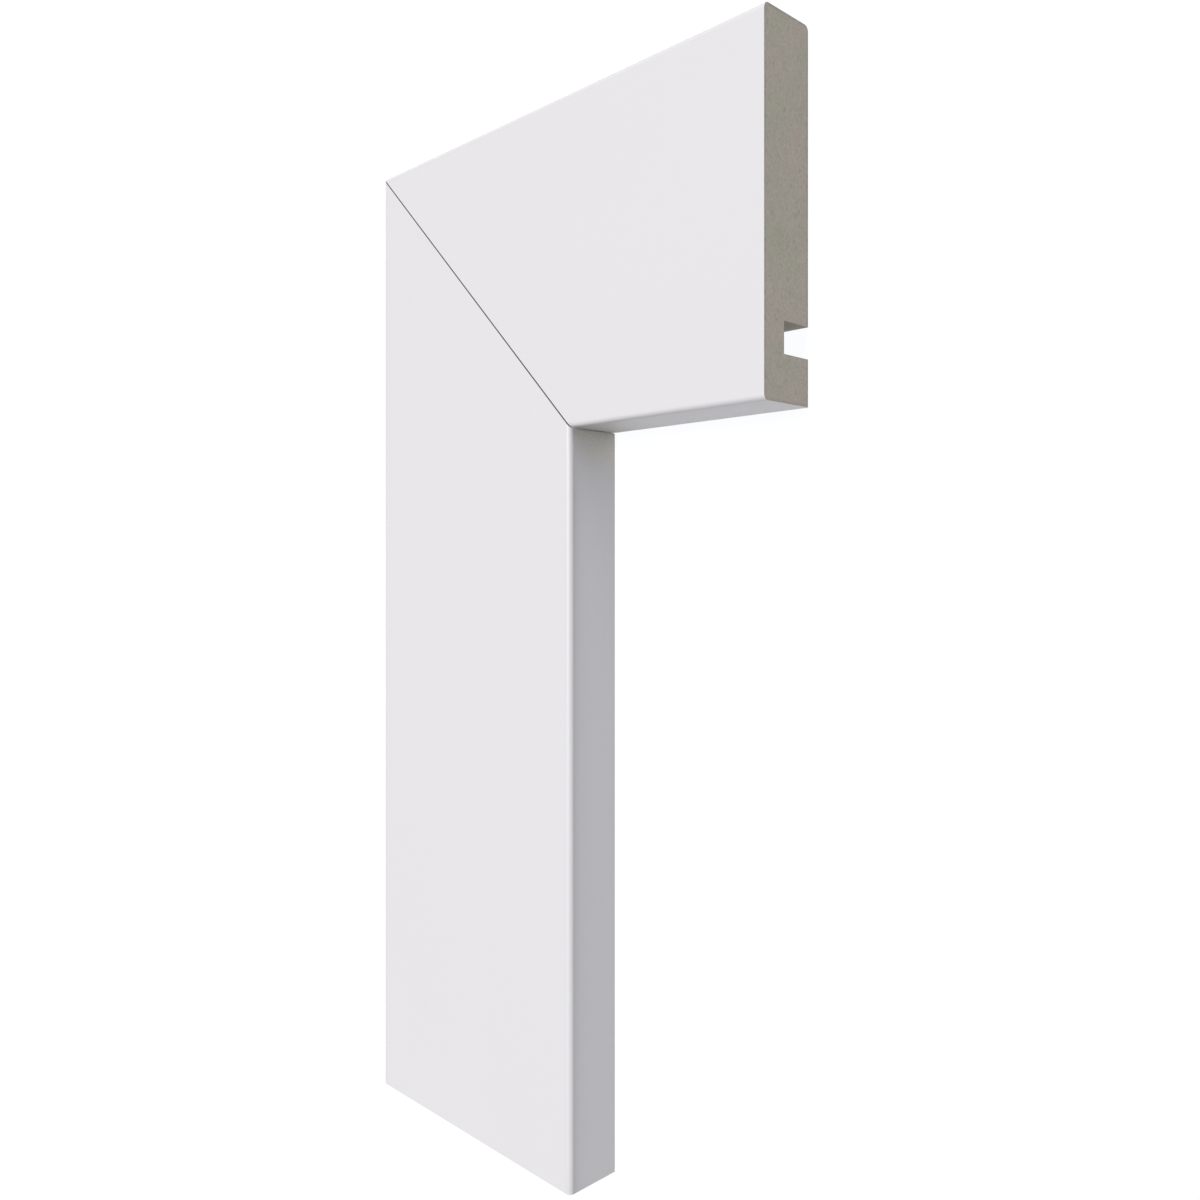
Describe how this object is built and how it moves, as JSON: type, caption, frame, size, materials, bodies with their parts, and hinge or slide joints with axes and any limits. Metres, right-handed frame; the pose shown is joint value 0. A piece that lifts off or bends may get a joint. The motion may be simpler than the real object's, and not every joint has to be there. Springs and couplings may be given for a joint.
{
  "type": "architrave moulding",
  "caption": "Mitred corner of a flat door architrave: a short head and a longer leg with rounded front edges and a groove in the back beside the inner edge.",
  "frame": {"origin": "inner corner of the mitre, on the plane of the back", "axes": "+Z out of the painted face; +X along the head, away from the mitre; +Y from the head's inner edge to its outer edge, so the leg runs along -Y"},
  "size_m": [0.163, 0.3125, 0.018],
  "materials": {
    "painted_mdf": "satin white paint on the face and edges, bare grey-brown MDF on the cut ends, in the groove and on the back"
  },
  "bodies": {
    "root": {"architrave_head": "painted_mdf", "architrave_leg": "painted_mdf"}
  },
  "joints": []
}
